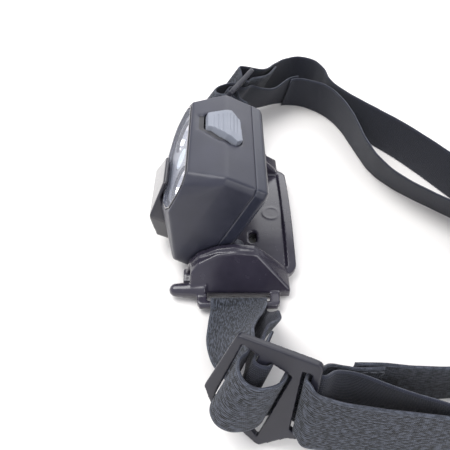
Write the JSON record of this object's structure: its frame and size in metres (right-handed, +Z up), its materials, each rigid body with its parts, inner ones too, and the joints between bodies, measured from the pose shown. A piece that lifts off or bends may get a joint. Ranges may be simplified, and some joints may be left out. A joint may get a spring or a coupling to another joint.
{
  "type": "headlamp",
  "caption": "Wide rechargeable headlamp on a tilting mounting bracket, with an elastic headband threaded through a slider at each side.",
  "frame": {"origin": "middle of the footprint, on the surface the headlamp lies on", "axes": "+Z up, +X towards the wearer's left, the lens faces -Y"},
  "size_m": [0.2916, 0.2188, 0.07],
  "materials": {
    "housing": "satin",
    "smoke": "gloss",
    "slider": "satin",
    "lens": "clear",
    "reflector": "polished",
    "optic": "clear",
    "circuit": "satin",
    "led": "gloss",
    "alloy": "satin",
    "cell": "satin",
    "steel": "brushed",
    "seal": "matt",
    "key": "matt",
    "gold": "polished",
    "nylon": "matt",
    "webbing": "woven",
    "pad": "matt"
  },
  "bodies": {
    "headband": {"mount_bracket": "smoke", "forehead_pad": "pad", "hinge_pins": "steel", "hinge_washers": "nylon", "near_slider": "slider", "far_slider": "slider", "near_adjuster_band": "webbing", "far_adjuster_band": "webbing", "outer_headband": "webbing", "inner_headband": "webbing"},
    "lamp": {"front_shell": "housing", "rear_cover": "housing", "cover_seal": "seal", "lens_window": "lens", "lens_frame": "smoke", "reflector_tray": "reflector", "flood_optic": "optic", "led_board": "circuit", "led_emitters": "led", "heat_spreader": "alloy", "battery_cell": "cell", "battery_cradle": "slider", "control_board": "circuit", "tact_switch": "slider", "cover_screws": "steel", "chin_block": "smoke", "charge_contact": "gold"},
    "button": {"top_button": "key"}
  },
  "joints": [
    {"name": "lamp_tilt", "type": "hinge", "parent": "headband", "child": "lamp", "pos_m": [0.00898, -0.06261, 0.01756], "axis": [1, 0, 0], "range_deg": [-60, 2]},
    {"name": "button_press", "type": "slide", "parent": "lamp", "child": "button", "axis": [0, -0.4462, -0.8949], "range_m": [0, 0.0012], "stiffness_N_per_m": 1500}
  ]
}
